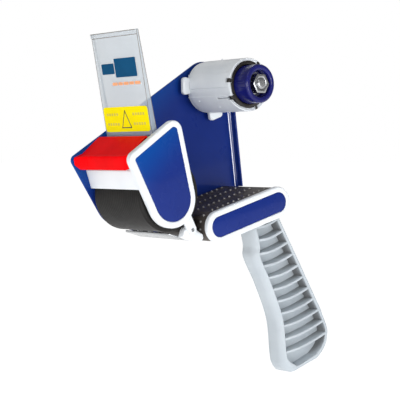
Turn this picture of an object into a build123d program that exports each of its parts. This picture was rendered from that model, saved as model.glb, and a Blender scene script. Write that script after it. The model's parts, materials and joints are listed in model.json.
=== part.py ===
"""Hand-held tape dispenser: pistol grip, tape spool, pressing roller, guarded blade and clear flap.

Millimetres. X points from the nose to the grip, Z up, Y across. The tape's mid-width plane is Y = 0,
the open side that takes the roll is -Y, the steel side plate is at +Y, and the origin is the centre
of the tape spool.
"""
import os
from math import atan2, cos, degrees, hypot, radians, sin

from build123d import *

# ---------------------------------------------------------------- driving dimensions
TAPE_WIDTH = 50.0
HALF_TAPE = TAPE_WIDTH / 2
CORE_BORE = 38.1
M8_RADIUS = 4.0
M8_NUT_FLATS = 13.0
M8_NUT_HEIGHT = 6.5
RUN = 0.05          # radial running clearance
SHEET = 1.5         # steel sheet

PLATE_IN = 27.0     # the side plate's inner face
PLATE_OUT = PLATE_IN + SHEET
CHEEK_IN = -26.5    # the near cheek's inner face
COVER_IN = -27.0    # the base's near cover, inner face
NEAR_FACE = -31.0   # outer face of the cheek and of the base's near cover
PANEL_DEPTH = 1.2   # glossy inlays
RIM = 4.1           # white rim left round an inlay

HUB_RADIUS = CORE_BORE / 2 - 0.3
HUB_WALL = 2.2
HUB_FAR = 24.0
HUB_NEAR = -22.0
STOP_RADIUS = 24.0
STOP_ANGLES = (180, 290, 42)
SLOT_ANGLES = (173, 212, 294, 60)

ROLLER_X, ROLLER_Z, ROLLER_RADIUS = -74.0, -75.2, 24.7
TYRE_WALL = 4.0
AXLE_RADIUS = 4.0

NOSE_X, NOSE_Z, NOSE_RADIUS = -111.6, -52.9, 4.0
FRONT_X, FRONT_Z = -34.5, -97.4     # front end of the base
REAR_X, REAR_Z = 20.0, -82.2        # rear end of the base
BASE_RADIUS = 11.0
BASE_ANGLE = degrees(atan2(REAR_Z - FRONT_Z, REAR_X - FRONT_X))
SHELL_RADIUS = 10.3
SHELL_WALL = 2.3
STUD_PITCH = 5.0

GUARD_SLOPE = 39.7                  # the guard's top plate, down towards the nose
GUARD_REAR_X, GUARD_REAR_Z = -93.6, -36.9
GUARD_LENGTH = 21.3
GUARD_WALL = 2.0
GUARD_PIN_X, GUARD_PIN_Z = -92.6, -42.3
GUARD_PIN_RADIUS = 1.5

FLAP_PIN_X, FLAP_PIN_Z = -87.0, -38.8
FLAP_PIN_RADIUS = 1.25
FLAP_LEAN = 10.9
FLAP_HEIGHT = 71.6
FLAP_SHEET = 1.2

GRIP_HALF = 10.5
GRIP_WEB = 3.0


# ---------------------------------------------------------------- helpers
def side(y):
    """The side-view plane at a given Y: sketch X is X, sketch Y is Z, and extrusions go towards -Y."""
    return Plane(origin=(0, y, 0), x_dir=(1, 0, 0), z_dir=(0, -1, 0))


def disc(x, z, radius, y_from, y_to, mode=Mode.ADD):
    """A round bar along Y."""
    with BuildSketch(side(y_from)) as profile:
        with Locations((x, z)):
            Circle(radius)
    extrude(profile.sketch, amount=y_from - y_to, mode=mode)


def ring(x, z, outer, inner, y_from, y_to):
    """A tube along Y."""
    with BuildSketch(side(y_from)) as profile:
        with Locations((x, z)):
            Circle(outer)
            Circle(inner, mode=Mode.SUBTRACT)
    extrude(profile.sketch, amount=y_from - y_to)


def hull(circles, y_from, y_to, mode=Mode.ADD):
    """A plate along Y whose outline is stretched round circles given as (x, z, radius)."""
    with BuildSketch(side(y_from)) as profile:
        for x, z, radius in circles:
            with Locations((x, z)):
                Circle(radius)
        make_hull()
    extrude(profile.sketch, amount=y_from - y_to, mode=mode)


def prism(points, y_from, y_to, mode=Mode.ADD):
    """A straight-sided bar along Y, with corners given as (x, z)."""
    with BuildSketch(side(y_from)) as profile:
        with BuildLine():
            Polyline(*points, close=True)
        make_face()
    extrude(profile.sketch, amount=y_from - y_to, mode=mode)


def hexagon(x, z, flats, y_from, y_to, turn=0.0):
    """A hexagonal bar along Y."""
    with BuildSketch(side(y_from)) as profile:
        with Locations((x, z)):
            RegularPolygon(flats / 2, 6, major_radius=False, rotation=turn)
    extrude(profile.sketch, amount=y_from - y_to)


def coil(x, z, y_from, radius, wire, pitch, turns):
    """A wire coil round an axis along Y, wound from y_from towards -Y."""
    with BuildLine() as path:
        Helix(pitch=pitch, height=pitch * turns, radius=radius, center=(x, y_from, z), direction=(0, -1, 0))
    with BuildSketch(Plane(origin=path.line @ 0, z_dir=path.line % 0)) as section:
        Circle(wire / 2)
    sweep(section.sketch, path=path.line)


def along(start, angle, distance, lift=0.0):
    """The point at a distance along a slope, and a lift square to it."""
    turn = radians(angle)
    return (start[0] + distance * cos(turn) - lift * sin(turn),
            start[1] + distance * sin(turn) + lift * cos(turn))


def finish(part, name):
    """Name a finished piece and write it."""
    part.part.label = name
    export_step(part.part, f"parts/{name}.step")


os.makedirs("parts", exist_ok=True)

# ---------------------------------------------------------------- side plate
HUB_BACKING = 18.5
plate_outline = [
    (NOSE_X, NOSE_Z, NOSE_RADIUS),
    (0, 0, HUB_BACKING),
    (6.5, -1.0, 18.0),
    (22.5, -80.0, 13.0),
    (FRONT_X, FRONT_Z, BASE_RADIUS),
    (ROLLER_X, ROLLER_Z, ROLLER_RADIUS - 1.5),
]
FLANGE_DEPTH = 5.0
flange_top = (25.9, -10.0)
flange_bottom = (34.4, -72.0)
flange_turn = degrees(atan2(flange_top[1] - flange_bottom[1], flange_top[0] - flange_bottom[0]))
flange_length = hypot(flange_top[0] - flange_bottom[0], flange_top[1] - flange_bottom[1])
housing_bosses = [(-97.9, -55.9), (-86.3, -47.1)]
bolt_places = [(REAR_X - 1.0, REAR_Z - 0.3), (REAR_X - 16.0, REAR_Z - 4.5)]
BOLT_RADIUS = 2.5
SCREW_RADIUS = 2.0
RIVET_RADIUS = 1.5
far_rivets = [(-59.5, -101.0), (-50.5, -102.0)]
near_rivet = (-57.2, -98.8)
guide_arm = [(-64.0, -87.0, 4.0), (-57.2, -98.4, 3.4)]
ARM_WALL = 2.5

with BuildPart() as frame_plate:
    hull(plate_outline, PLATE_OUT, PLATE_IN)
    prism([along(flange_bottom, flange_turn, 0), along(flange_bottom, flange_turn, flange_length),
           along(flange_bottom, flange_turn, flange_length, SHEET),
           along(flange_bottom, flange_turn, 0, SHEET)], PLATE_IN, PLATE_IN - FLANGE_DEPTH)
    disc(0, 0, M8_RADIUS, PLATE_OUT, PLATE_IN, Mode.SUBTRACT)
    disc(ROLLER_X, ROLLER_Z, AXLE_RADIUS, PLATE_OUT, PLATE_IN, Mode.SUBTRACT)
    disc(GUARD_PIN_X, GUARD_PIN_Z, GUARD_PIN_RADIUS, PLATE_OUT, PLATE_IN, Mode.SUBTRACT)
    disc(FLAP_PIN_X, FLAP_PIN_Z, FLAP_PIN_RADIUS, PLATE_OUT, PLATE_IN, Mode.SUBTRACT)
    for x, z in housing_bosses:
        disc(x, z, SCREW_RADIUS, PLATE_OUT, PLATE_IN, Mode.SUBTRACT)
    for x, z in bolt_places:
        disc(x, z, BOLT_RADIUS, PLATE_OUT, PLATE_IN, Mode.SUBTRACT)
    for x, z in far_rivets:
        disc(x, z, RIVET_RADIUS, PLATE_OUT, PLATE_IN, Mode.SUBTRACT)
finish(frame_plate, "frame_plate")

# ---------------------------------------------------------------- nose housing and its inlay
cheek_panel = [(-75.4, -77.9, 15.0), (-104.7, -52.4, 1.5), (-74.6, -33.8, 3.0)]
cheek_rim = [(x, z, r + RIM) for x, z, r in cheek_panel]
guard_rear = (GUARD_REAR_X, GUARD_REAR_Z)
down_slope = 180 + GUARD_SLOPE
BRIDGE_DROP = 7.8       # the bridge's top lies this far under the guard's top face
BRIDGE_WALL = 2.5
bridge_rear = along(guard_rear, down_slope, 0.5, BRIDGE_DROP)
bridge_front = along(guard_rear, down_slope, 16.5, BRIDGE_DROP)
band_top = (-103.9, -59.8)
band_foot = (-99.8, -71.7)
BAND_WALL = 2.0
BOSS_RADIUS = 3.6
PIN_SEAT = 2.5
ROLLER_GAP = 0.6

with BuildPart() as nose_housing:
    hull(cheek_rim, CHEEK_IN, NEAR_FACE)
    hull(cheek_panel, NEAR_FACE + PANEL_DEPTH, NEAR_FACE, Mode.SUBTRACT)
    prism([bridge_rear, bridge_front,
           along(bridge_front, down_slope, 0, BRIDGE_WALL), along(bridge_rear, down_slope, 0, BRIDGE_WALL)],
          PLATE_IN, CHEEK_IN)
    prism([bridge_front, band_top, band_foot, (band_foot[0] + BAND_WALL, band_foot[1] + 0.6),
           (band_top[0] + BAND_WALL, band_top[1] + 0.6), along(bridge_front, down_slope, -BAND_WALL, 0.5)],
          PLATE_IN, CHEEK_IN)
    disc(ROLLER_X, ROLLER_Z, ROLLER_RADIUS + ROLLER_GAP, PLATE_IN, CHEEK_IN, Mode.SUBTRACT)
    hull(guide_arm, CHEEK_IN, CHEEK_IN - ARM_WALL)
    disc(*near_rivet, RIVET_RADIUS, CHEEK_IN, CHEEK_IN - ARM_WALL, Mode.SUBTRACT)
    for x, z in housing_bosses:
        disc(x, z, BOSS_RADIUS, PLATE_IN, PLATE_IN - 10)
        disc(x, z, SCREW_RADIUS, PLATE_IN, PLATE_IN - 8, Mode.SUBTRACT)
    disc(ROLLER_X, ROLLER_Z, AXLE_RADIUS, CHEEK_IN, CHEEK_IN - PIN_SEAT, Mode.SUBTRACT)
    disc(GUARD_PIN_X, GUARD_PIN_Z, GUARD_PIN_RADIUS, CHEEK_IN, CHEEK_IN - PIN_SEAT, Mode.SUBTRACT)
    disc(FLAP_PIN_X, FLAP_PIN_Z, FLAP_PIN_RADIUS, CHEEK_IN, CHEEK_IN - PIN_SEAT, Mode.SUBTRACT)
finish(nose_housing, "nose_housing")

with BuildPart() as nose_panel:
    hull(cheek_panel, NEAR_FACE + PANEL_DEPTH, NEAR_FACE)
finish(nose_panel, "nose_panel")

with BuildPart() as housing_screws:
    for x, z in housing_bosses:
        disc(x, z, SCREW_RADIUS, PLATE_OUT, PLATE_IN - 8)
        disc(x, z, SCREW_RADIUS * 2, PLATE_OUT + 2, PLATE_OUT)
finish(housing_screws, "housing_screws")

# ---------------------------------------------------------------- blade and guard
BLADE_WALL = 1.0
BLADE_HALF = 23.0
TOOTH_PITCH = 2.0
TOOTH_HEIGHT = 1.6
BLADE_FRONT = 18.6      # distance down the slope to the roots of the teeth
BLADE_REAR = 5.0
screw_spots = [(11.0, 15.0), (11.0, -15.0)]
BLADE_SCREW_RADIUS = 1.5
blade_top = BRIDGE_DROP - BLADE_WALL


def slope_plane(distance, drop):
    """A plane facing out of the nose slope: sketch X runs down the slope, sketch Y along Y."""
    point = along(guard_rear, down_slope, distance, drop)
    turn = radians(down_slope)
    return Plane(origin=(point[0], 0, point[1]), x_dir=(cos(turn), 0, sin(turn)),
                 z_dir=(-sin(radians(GUARD_SLOPE)), 0, cos(radians(GUARD_SLOPE))))


tooth_count = int(2 * BLADE_HALF / TOOTH_PITCH)
blade_edge = [(BLADE_REAR, BLADE_HALF)]
for tooth in range(tooth_count):
    root = BLADE_HALF - tooth * TOOTH_PITCH
    blade_edge += [(BLADE_FRONT, root), (BLADE_FRONT + TOOTH_HEIGHT, root - TOOTH_PITCH / 2)]
blade_edge += [(BLADE_FRONT, -BLADE_HALF), (BLADE_REAR, -BLADE_HALF)]

with BuildPart() as blade:
    with BuildSketch(slope_plane(0, BRIDGE_DROP)):
        with BuildLine():
            Polyline(*blade_edge, close=True)
        make_face()
        with Locations(*screw_spots):
            Circle(BLADE_SCREW_RADIUS, mode=Mode.SUBTRACT)
    extrude(amount=BLADE_WALL)
finish(blade, "blade")

with BuildPart() as blade_screws:
    with BuildSketch(slope_plane(0, blade_top)):
        with Locations(*screw_spots):
            Circle(BLADE_SCREW_RADIUS * 1.9)
    extrude(amount=1.4)
    with BuildSketch(slope_plane(0, blade_top)):
        with Locations(*screw_spots):
            Circle(BLADE_SCREW_RADIUS)
    extrude(amount=-BLADE_WALL)
finish(blade_screws, "blade_screws")

GUARD_FAR = 26.4
GUARD_NEAR = -25.9
LIP_LENGTH = 8.8
LIP_ANGLE = 281.2
guard_nose = along(guard_rear, down_slope, GUARD_LENGTH)
lip_foot = along(guard_nose, LIP_ANGLE, LIP_LENGTH)
EAR_WALL = 2.2
SPRING_RELIEF = 2.9

with BuildPart() as blade_guard:
    prism([guard_rear, guard_nose, lip_foot, along(lip_foot, LIP_ANGLE, 0, GUARD_WALL * 0.8),
           along(guard_nose, LIP_ANGLE, 2.6, GUARD_WALL), along(guard_nose, down_slope, -2.6, GUARD_WALL),
           along(guard_rear, down_slope, 0, GUARD_WALL)], GUARD_FAR, GUARD_NEAR)
    for y in (GUARD_FAR, GUARD_NEAR + EAR_WALL):
        hull([(GUARD_PIN_X, GUARD_PIN_Z, 2.4), (*along(guard_rear, down_slope, 1.5, 1.5), 1.4),
              (*along(guard_rear, down_slope, 6.5, 1.5), 1.4)], y, y - EAR_WALL)
    disc(GUARD_PIN_X, GUARD_PIN_Z, GUARD_PIN_RADIUS + RUN, GUARD_FAR, GUARD_NEAR, Mode.SUBTRACT)
    disc(GUARD_PIN_X, GUARD_PIN_Z, SPRING_RELIEF, GUARD_FAR - EAR_WALL, GUARD_NEAR + EAR_WALL, Mode.SUBTRACT)
finish(blade_guard, "blade_guard")

GUARD_SPRING_Y = -18.0
COIL_WIRE = 0.7
COIL_PITCH = 0.85

with BuildPart() as guard_pin:
    disc(GUARD_PIN_X, GUARD_PIN_Z, GUARD_PIN_RADIUS, PLATE_OUT, CHEEK_IN - PIN_SEAT)
finish(guard_pin, "guard_pin")

with BuildPart() as guard_spring:
    coil(GUARD_PIN_X, GUARD_PIN_Z, GUARD_SPRING_Y, GUARD_PIN_RADIUS + 0.6, COIL_WIRE, COIL_PITCH, 5)
finish(guard_spring, "guard_spring")

# ---------------------------------------------------------------- clear flap
flap_pin_place = (FLAP_PIN_X, FLAP_PIN_Z)
flap_up = 90 + FLAP_LEAN
FLAP_HALF = HALF_TAPE - 0.2
BARREL_RADIUS = 2.6
BARREL_NEAR = -17.5
EDGE_DEPTH_FOOT = 3.9
EDGE_DEPTH_TOP = 1.1
HEM_HEIGHT = 3.0
HEM_DEPTH = 0.8
half_sheet = FLAP_SHEET / 2


def flap_point(height, forward):
    """A point of the flap's side view: height up the flap, and distance forward of its middle."""
    return along(flap_pin_place, flap_up, height, forward)


with BuildPart() as flap:
    prism([flap_point(BARREL_RADIUS - 0.8, half_sheet), flap_point(FLAP_HEIGHT, half_sheet),
           flap_point(FLAP_HEIGHT, -half_sheet), flap_point(BARREL_RADIUS - 0.8, -half_sheet)],
          FLAP_HALF, -FLAP_HALF)
    prism([flap_point(FLAP_HEIGHT - HEM_HEIGHT, half_sheet),
           flap_point(FLAP_HEIGHT - HEM_HEIGHT, half_sheet + HEM_DEPTH),
           flap_point(FLAP_HEIGHT, half_sheet + HEM_DEPTH), flap_point(FLAP_HEIGHT, half_sheet)],
          FLAP_HALF, -FLAP_HALF)
    disc(FLAP_PIN_X, FLAP_PIN_Z, BARREL_RADIUS, FLAP_HALF, BARREL_NEAR)
    for y in (FLAP_HALF, -FLAP_HALF + FLAP_SHEET):
        prism([flap_point(2.0, half_sheet), flap_point(FLAP_HEIGHT, half_sheet),
               flap_point(FLAP_HEIGHT, -EDGE_DEPTH_TOP), flap_point(6.0, -EDGE_DEPTH_FOOT),
               flap_point(2.0, -BARREL_RADIUS)], y, y - FLAP_SHEET)
        disc(FLAP_PIN_X, FLAP_PIN_Z, BARREL_RADIUS, y, y - FLAP_SHEET)
    disc(FLAP_PIN_X, FLAP_PIN_Z, FLAP_PIN_RADIUS + RUN, FLAP_HALF, -FLAP_HALF, Mode.SUBTRACT)
    prism([flap_point(-BARREL_RADIUS, half_sheet + 3), flap_point(BARREL_RADIUS, half_sheet + 3),
           flap_point(BARREL_RADIUS, -half_sheet - 3), flap_point(-BARREL_RADIUS, -half_sheet - 3)],
          BARREL_NEAR, -FLAP_HALF + FLAP_SHEET, Mode.SUBTRACT)
finish(flap, "flap")

FILM = 0.2


def flap_film(low, high, y_from, y_to, corner):
    """A thin film on the flap's front face, between two heights and two places across."""
    foot = flap_point((low + high) / 2, half_sheet)
    face = Plane(origin=(foot[0], (y_from + y_to) / 2, foot[1]), x_dir=(0, -1, 0),
                 z_dir=(-cos(radians(FLAP_LEAN)), 0, -sin(radians(FLAP_LEAN))))
    with BuildSketch(face) as film:
        RectangleRounded(y_from - y_to, high - low, corner)
    extrude(film.sketch, amount=FILM)


LABEL_HALF = 24.0
with BuildPart() as flap_label:
    flap_film(5.3, 22.0, LABEL_HALF, -LABEL_HALF, 2.0)
finish(flap_label, "flap_label")

with BuildPart() as flap_print:
    flap_film(41.5, 54.0, 18.5, -19.0, 0.8)
    flap_film(36.4, 38.2, 9.0, -21.0, 0.5)
finish(flap_print, "flap_print")

with BuildPart() as flap_pin:
    disc(FLAP_PIN_X, FLAP_PIN_Z, FLAP_PIN_RADIUS, PLATE_OUT, CHEEK_IN - PIN_SEAT)
finish(flap_pin, "flap_pin")

with BuildPart() as flap_spring:
    coil(FLAP_PIN_X, FLAP_PIN_Z, BARREL_NEAR - 0.6, FLAP_PIN_RADIUS + 0.6, COIL_WIRE, COIL_PITCH, 5)
finish(flap_spring, "flap_spring")

# ---------------------------------------------------------------- pressing roller
CORE_WALL = 2.0
BUSH_RADIUS = 6.5
BUSH_FLANGE = 8.5
BUSH_LENGTH = 8.0
tyre_inner = ROLLER_RADIUS - TYRE_WALL
SPOKES = 6

with BuildPart() as roller_tyre:
    ring(ROLLER_X, ROLLER_Z, ROLLER_RADIUS, tyre_inner, HALF_TAPE, -HALF_TAPE)
    fillet(roller_tyre.faces().filter_by(Axis.Y).edges().group_by(SortBy.RADIUS)[-1], 0.6)
finish(roller_tyre, "roller_tyre")

with BuildPart() as roller_core:
    ring(ROLLER_X, ROLLER_Z, tyre_inner, tyre_inner - CORE_WALL, HALF_TAPE, -HALF_TAPE)
    ring(ROLLER_X, ROLLER_Z, BUSH_RADIUS + CORE_WALL, BUSH_RADIUS, HALF_TAPE - 1, 1 - HALF_TAPE)
    for spoke in range(SPOKES):
        turn = spoke * 360 / SPOKES
        middle = (BUSH_RADIUS + tyre_inner) / 2
        with BuildSketch(side(HALF_TAPE - 3)) as spoke_profile:
            with Locations(Location(along((ROLLER_X, ROLLER_Z), turn, middle), turn)):
                Rectangle(tyre_inner - BUSH_RADIUS - 2.4, CORE_WALL)
        extrude(spoke_profile.sketch, amount=TAPE_WIDTH - 6)
finish(roller_core, "roller_core")

with BuildPart() as roller_bushes:
    for outer, inner in ((HALF_TAPE, HALF_TAPE - BUSH_LENGTH), (BUSH_LENGTH - HALF_TAPE, -HALF_TAPE)):
        ring(ROLLER_X, ROLLER_Z, BUSH_RADIUS, AXLE_RADIUS + RUN, outer, inner)
    ring(ROLLER_X, ROLLER_Z, BUSH_FLANGE, AXLE_RADIUS + RUN, HALF_TAPE, HALF_TAPE - 1)
    ring(ROLLER_X, ROLLER_Z, BUSH_FLANGE, AXLE_RADIUS + RUN, 1 - HALF_TAPE, -HALF_TAPE)
finish(roller_bushes, "roller_bushes")

AXLE_TAP = 2.5
AXLE_TAP_DEPTH = 12.0
with BuildPart() as roller_axle:
    disc(ROLLER_X, ROLLER_Z, AXLE_RADIUS, PLATE_OUT, CHEEK_IN - PIN_SEAT)
    disc(ROLLER_X, ROLLER_Z, AXLE_TAP, PLATE_OUT, PLATE_OUT - AXLE_TAP_DEPTH, Mode.SUBTRACT)
finish(roller_axle, "roller_axle")

with BuildPart() as axle_screw:
    disc(ROLLER_X, ROLLER_Z, AXLE_TAP, PLATE_OUT, PLATE_OUT - AXLE_TAP_DEPTH + 1)
    disc(ROLLER_X, ROLLER_Z, AXLE_RADIUS + 2, PLATE_OUT + 1, PLATE_OUT)
    hexagon(ROLLER_X, ROLLER_Z, 8.0, PLATE_OUT + 4, PLATE_OUT + 1)
finish(axle_screw, "axle_screw")

with BuildPart() as roller_washers:
    ring(ROLLER_X, ROLLER_Z, 7.0, AXLE_RADIUS, PLATE_IN, HALF_TAPE + 0.3)
    ring(ROLLER_X, ROLLER_Z, 7.0, AXLE_RADIUS, -HALF_TAPE - 0.3, CHEEK_IN)
finish(roller_washers, "roller_washers")

# ---------------------------------------------------------------- base
cover_outline = [(FRONT_X, FRONT_Z, BASE_RADIUS), (REAR_X, REAR_Z, BASE_RADIUS)]
panel_outline = [(x, z, r - RIM + 0.2) for x, z, r in cover_outline]
shell_outline = [(x, z, SHELL_RADIUS) for x, z, r in cover_outline]
shell_inside = [(x, z, SHELL_RADIUS - SHELL_WALL) for x, z, r in cover_outline]
tang_outline = [(x, z, 6.0) for x, z in bolt_places] + [(28.0, -96.0, 3.0), (20.5, -98.5, 3.0)]
TANG_HALF = 5.0
STUD_COUNT = 11
STUD_ROWS = 4
STUD_ROW_PITCH = 15.0
STUD_MIDDLE = 0.5
STUD_RADIUS = 0.9
STUD_TIP = 0.35
STUD_LENGTH = 1.1
STUD_SINK = 0.1
STANDING = (Align.CENTER, Align.CENTER, Align.MIN)


def stud_plane(x, z, turn):
    """A plane on the shell's outside, facing out at a given angle round a point of its axis."""
    out = radians(turn)
    reach = SHELL_RADIUS - STUD_SINK
    return Plane(origin=(x + reach * cos(out), STUD_MIDDLE, z + reach * sin(out)),
                 x_dir=(sin(out), 0, -cos(out)), z_dir=(cos(out), 0, sin(out)))


square_up = 90 + BASE_ANGLE
front_step = degrees(STUD_PITCH / SHELL_RADIUS)
base_middle = ((FRONT_X + REAR_X) / 2, (FRONT_Z + REAR_Z) / 2)

with BuildPart() as base_shell:
    hull(shell_outline, PLATE_IN, COVER_IN)
    hull(shell_inside, PLATE_IN, COVER_IN, Mode.SUBTRACT)
    with Locations(stud_plane(*base_middle, square_up)):
        with GridLocations(STUD_PITCH, STUD_ROW_PITCH, STUD_COUNT, STUD_ROWS):
            Cone(STUD_RADIUS, STUD_TIP, STUD_LENGTH, align=STANDING)
    for step in (1, 2, 3):
        with Locations(stud_plane(FRONT_X, FRONT_Z, square_up + step * front_step)):
            with GridLocations(STUD_PITCH, STUD_ROW_PITCH, 1, STUD_ROWS):
                Cone(STUD_RADIUS, STUD_TIP, STUD_LENGTH, align=STANDING)
    hull(tang_outline, TANG_HALF, -TANG_HALF, Mode.SUBTRACT)
finish(base_shell, "base_shell")

COVER_SEAT = 2.0
with BuildPart() as base_cover:
    hull(cover_outline, COVER_IN, NEAR_FACE)
    hull(panel_outline, NEAR_FACE + PANEL_DEPTH, NEAR_FACE, Mode.SUBTRACT)
    for x, z in bolt_places:
        disc(x, z, BOLT_RADIUS, COVER_IN, COVER_IN - COVER_SEAT, Mode.SUBTRACT)
finish(base_cover, "base_cover")

with BuildPart() as base_panel:
    hull(panel_outline, NEAR_FACE + PANEL_DEPTH, NEAR_FACE)
finish(base_panel, "base_panel")

with BuildPart() as base_bolts:
    for x, z in bolt_places:
        disc(x, z, BOLT_RADIUS, PLATE_OUT, COVER_IN - COVER_SEAT)
        disc(x, z, BOLT_RADIUS * 1.8, PLATE_OUT + 2.5, PLATE_OUT)
finish(base_bolts, "base_bolts")

# ---------------------------------------------------------------- handle
FRONT_ROUNDING = 5.0
RIB_WALL = 1.7
RIB_PITCH = 9.8
RIB_FIRST = 18.3        # square distance of the first rib from the base's axis
RIB_COUNT = 11
RIB_LENGTH = 240.0
grip_front = [(11.0, -91.0), (16.2, -104.0), (19.0, -114.4), (19.4, -124.3), (30.2, -143.4), (42.3, -170.3),
              (45.9, -196.0), (49.6, -205.2), (58.0, -208.3)]
grip_foot = (79.5, -202.0)
grip_toe = (91.2, -186.5)
grip_shoulder = (84.6, -165.5)
grip_top = (34.2, -84.4)
cell_front = [(15.0, -90.0), (20.2, -104.0), (22.9, -114.4), (23.4, -123.0), (33.8, -141.6), (46.0, -169.0),
              (49.6, -194.6), (53.0, -202.2), (60.0, -204.6)]
cell_foot = (78.6, -199.2)
cell_toe = (88.3, -186.3)
cell_shoulder = (82.2, -167.2)
cell_top = (31.6, -85.6)
foot_direction = (grip_foot[0] - grip_front[-1][0], grip_foot[1] - grip_front[-1][1])
back_direction = (grip_top[0] - grip_shoulder[0], grip_top[1] - grip_shoulder[1])
rib_start = along((REAR_X, REAR_Z), BASE_ANGLE - 90, RIB_FIRST)


with BuildLine() as grip_outline:
    Spline(*grip_front, tangents=[(5, -12), foot_direction])
    Line(grip_front[-1], grip_foot)
    Spline(grip_foot, grip_toe, grip_shoulder, tangents=[foot_direction, back_direction])
    Line(grip_shoulder, grip_top)
    Line(grip_top, grip_front[0])

with BuildLine() as cell_outline:
    Spline(*cell_front, tangents=[(5, -12), foot_direction])
    Line(cell_front[-1], cell_foot)
    Spline(cell_foot, cell_toe, cell_shoulder, tangents=[foot_direction, back_direction])
    Line(cell_shoulder, cell_top)
    Line(cell_top, cell_front[0])

rib_places = [along(rib_start, BASE_ANGLE - 90, rib * RIB_PITCH) for rib in range(RIB_COUNT)]

with BuildSketch(side(GRIP_HALF)) as cell_profile:
    make_face(cell_outline.edges())
    for x, z in rib_places:
        with Locations(Location((x, z, 0), (0, 0, BASE_ANGLE))):
            Rectangle(RIB_LENGTH, RIB_WALL, mode=Mode.SUBTRACT)

with BuildPart() as handle:
    with BuildSketch(side(GRIP_HALF)):
        make_face(grip_outline.edges())
    extrude(amount=2 * GRIP_HALF)
    rims = handle.edges().filter_by(lambda edge: abs(abs(edge.center().Y) - GRIP_HALF) < 0.01)
    fillet(rims.filter_by(GeomType.BSPLINE).sort_by(Axis.X)[:2], FRONT_ROUNDING)
    for face_y, step in ((GRIP_HALF, GRIP_HALF - GRIP_WEB / 2), (-GRIP_WEB / 2, GRIP_HALF - GRIP_WEB / 2)):
        cells = cell_profile.sketch.moved(Location((0, face_y - GRIP_HALF, 0)))
        extrude(cells, amount=step, mode=Mode.SUBTRACT)
    hull(shell_outline, PLATE_IN, NEAR_FACE, Mode.SUBTRACT)
    hull(tang_outline, TANG_HALF, -TANG_HALF)
    for x, z in bolt_places:
        disc(x, z, BOLT_RADIUS, TANG_HALF, -TANG_HALF, Mode.SUBTRACT)
finish(handle, "handle")

# ---------------------------------------------------------------- tape guide
GUIDE_NEAR = -21.0
guide_line = [(-71.0, -102.3), (-58.0, -105.9), (-46.5, -107.3)]
guide_block_outline = [(-62.5, -99.6), (-59.5, -96.4), (-55.5, -97.0), (-46.1, -102.4), (-45.8, -105.2),
                       (-47.5, -107.2), (-58.0, -105.8), (-63.5, -103.6)]

with BuildPart() as tape_guide:
    lifted = [(x, z + SHEET) for x, z in reversed(guide_line)]
    prism(guide_line + lifted, PLATE_IN, GUIDE_NEAR)
    prism([(-66.0, -103.0), (-58.0, -105.2), (-47.5, -106.6), (-47.5, -98.5), (-61.5, -98.2)],
          PLATE_IN, PLATE_IN - SHEET)
    for x, z in far_rivets:
        disc(x, z, RIVET_RADIUS, PLATE_IN, PLATE_IN - SHEET, Mode.SUBTRACT)
finish(tape_guide, "tape_guide")

with BuildPart() as guide_block:
    prism(guide_block_outline, GUIDE_NEAR, CHEEK_IN)
    disc(*near_rivet, RIVET_RADIUS, GUIDE_NEAR, CHEEK_IN, Mode.SUBTRACT)
finish(guide_block, "guide_block")

with BuildPart() as guide_rivets:
    for x, z in far_rivets:
        disc(x, z, RIVET_RADIUS, PLATE_OUT, PLATE_IN - SHEET)
        disc(x, z, RIVET_RADIUS * 1.8, PLATE_OUT + 1.2, PLATE_OUT)
        disc(x, z, RIVET_RADIUS * 1.6, PLATE_IN - SHEET, PLATE_IN - SHEET - 0.8)
    disc(*near_rivet, RIVET_RADIUS, GUIDE_NEAR, CHEEK_IN - ARM_WALL)
    disc(*near_rivet, RIVET_RADIUS * 1.6, GUIDE_NEAR + 0.8, GUIDE_NEAR)
finish(guide_rivets, "guide_rivets")

# ---------------------------------------------------------------- spindle
SLEEVE_RADIUS = 6.0
SLEEVE_NEAR = -12.0
BOLT_END = -35.2
BOLT_HEAD = 5.3
WASHER_RADIUS = 8.0
WASHER = 1.6
lock_nut_far = PLATE_IN - WASHER
lock_nut_near = lock_nut_far - M8_NUT_HEIGHT

with BuildPart() as spindle_bolt:
    disc(0, 0, M8_RADIUS, PLATE_OUT, BOLT_END)
    fillet(spindle_bolt.edges().sort_by(Axis.Y)[0], 1.6)
    hexagon(0, 0, M8_NUT_FLATS, PLATE_OUT + BOLT_HEAD, PLATE_OUT)
finish(spindle_bolt, "spindle_bolt")

with BuildPart() as spindle_washer:
    ring(0, 0, WASHER_RADIUS, M8_RADIUS, PLATE_IN, lock_nut_far)
finish(spindle_washer, "spindle_washer")

with BuildPart() as spindle_nut:
    hexagon(0, 0, M8_NUT_FLATS, lock_nut_far, lock_nut_near)
    disc(0, 0, M8_RADIUS, lock_nut_far, lock_nut_near, Mode.SUBTRACT)
finish(spindle_nut, "spindle_nut")

with BuildPart() as spindle_sleeve:
    ring(0, 0, SLEEVE_RADIUS, M8_RADIUS, lock_nut_near, SLEEVE_NEAR)
finish(spindle_sleeve, "spindle_sleeve")

# ---------------------------------------------------------------- tape spool and its brake
BOSS_OUTER = 9.0
BOSS_FAR = lock_nut_near - 0.4
BOSS_NEAR = 6.0
WEB_FAR, WEB_NEAR = 14.0, 11.0
SLOT_WIDTH = 3.0
SLOT_LENGTH = 4.5
SLIT_WIDTH = 0.8
SLIT_LENGTH = 16.0
STOP_WALL = 3.0
STOP_SPREAD = 4.5       # half the stop's width, to the middle of its corners
STOP_CORNER = 2.5
RELIEF = 0.4            # the spool is this much smaller beside its stops
RELIEF_NEAR = 20.7
hub_inner = HUB_RADIUS - HUB_WALL
KNOB_RADIUS = 13.4
RING_FAR, RING_NEAR = -19.0, -21.2


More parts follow.
